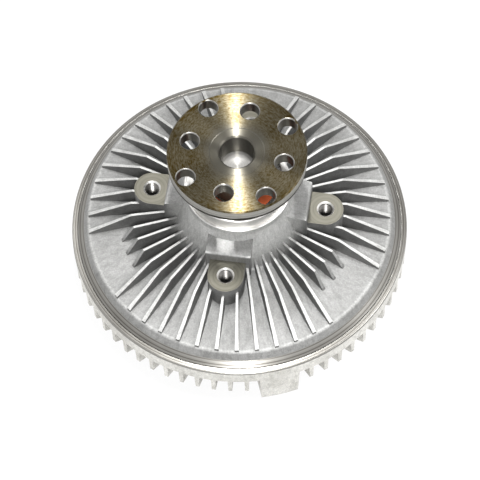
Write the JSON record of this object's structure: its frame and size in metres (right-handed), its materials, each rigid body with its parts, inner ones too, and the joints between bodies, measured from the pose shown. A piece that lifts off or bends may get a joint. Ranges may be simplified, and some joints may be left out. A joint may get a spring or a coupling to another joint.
{
  "type": "viscous fan clutch",
  "caption": "Finned aluminium viscous fan clutch with a bolted drive flange on a ball bearing, ring-land rotor in a sealed chamber and a bimetal valve, lying on its front cover.",
  "frame": {"origin": "on the clutch's axis, in the plane that the front cover's fins rest on", "axes": "+Z along the axis towards the drive flange, +X towards one of the fan bosses"},
  "size_m": [0.1906, 0.1906, 0.1117],
  "materials": {
    "cast_aluminium": "as-cast, bright",
    "cover_aluminium": "as-cast, pale, with a turned rim",
    "passivated_steel": "turned, yellow passivated",
    "bearing_steel": "ground",
    "ball_steel": "polished",
    "cage_brass": "machined",
    "seal_rubber_red": "moulded, orange-red",
    "seal_rubber_black": "moulded",
    "rotor_aluminium": "turned",
    "spring_steel": "oiled",
    "plated_steel": "zinc plated",
    "bimetal": "rolled strip",
    "wiper_polymer": "moulded"
  },
  "bodies": {
    "housing": {"rear_housing": "cast_aluminium", "front_cover": "cover_aluminium", "cover_seal": "seal_rubber_black", "wiper_block": "wiper_polymer", "reservoir_plate": "plated_steel", "bearing_outer_ring": "bearing_steel", "bearing_seal_rear": "seal_rubber_red", "bearing_seal_front": "seal_rubber_red", "bimetal_coil": "bimetal", "coil_bracket": "plated_steel"},
    "hub": {"drive_hub": "passivated_steel", "bearing_inner_ring": "bearing_steel", "shaft_snap_ring": "spring_steel", "rotor": "rotor_aluminium"},
    "ball_set": {"bearing_balls_rear": "ball_steel", "bearing_balls_front": "ball_steel", "ball_cage": "cage_brass"},
    "valve": {"valve_shaft": "plated_steel", "valve_arm": "plated_steel", "valve_shaft_seal": "seal_rubber_black"}
  },
  "joints": [
    {"name": "hub_spin", "type": "hinge", "parent": "housing", "child": "hub", "pos_m": [0, 0, 0.0718], "axis": [0, 0, 1], "continuous": true},
    {"name": "ball_spin", "type": "hinge", "parent": "housing", "child": "ball_set", "pos_m": [0, 0, 0.0718], "axis": [0, 0, 1], "continuous": true},
    {"name": "valve_turn", "type": "hinge", "parent": "housing", "child": "valve", "pos_m": [0, 0, 0.0125], "axis": [0, 0, 1], "range_deg": [0, 25], "stiffness_Nm_per_rad": 0.05, "deforming": ["bimetal_coil"]}
  ],
  "couplings": [
    {"joint": "ball_spin", "follows": "hub_spin", "ratio": 0.3935}
  ]
}
